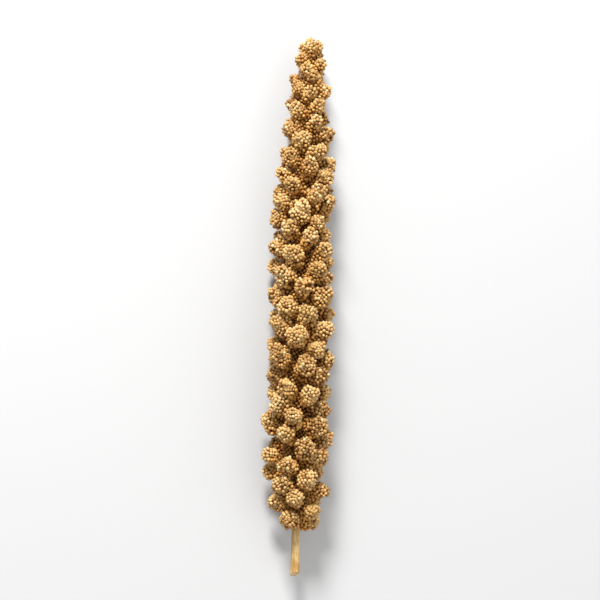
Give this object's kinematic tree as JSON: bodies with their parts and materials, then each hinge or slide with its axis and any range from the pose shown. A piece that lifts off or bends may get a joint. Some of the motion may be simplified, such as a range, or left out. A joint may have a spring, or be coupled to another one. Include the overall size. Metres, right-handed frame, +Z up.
{
  "type": "foxtail millet head",
  "caption": "Dried foxtail millet head lying on its side: round lobes packed with grains along a gently curved core, with a short cut stem.",
  "frame": {"origin": "on the surface that the head lies on, under the middle of its box", "axes": "+Y along the head from the cut stem to the tip, +Z up off the surface"},
  "size_m": [0.0361, 0.2431, 0.0324],
  "materials": {
    "millet_grain": "dry millet grains, golden tan, each with a soft satin husk",
    "straw": "dry straw, finely ribbed, matte"
  },
  "bodies": {
    "root": {"seed_head": "millet_grain", "stem": "straw"}
  },
  "joints": []
}
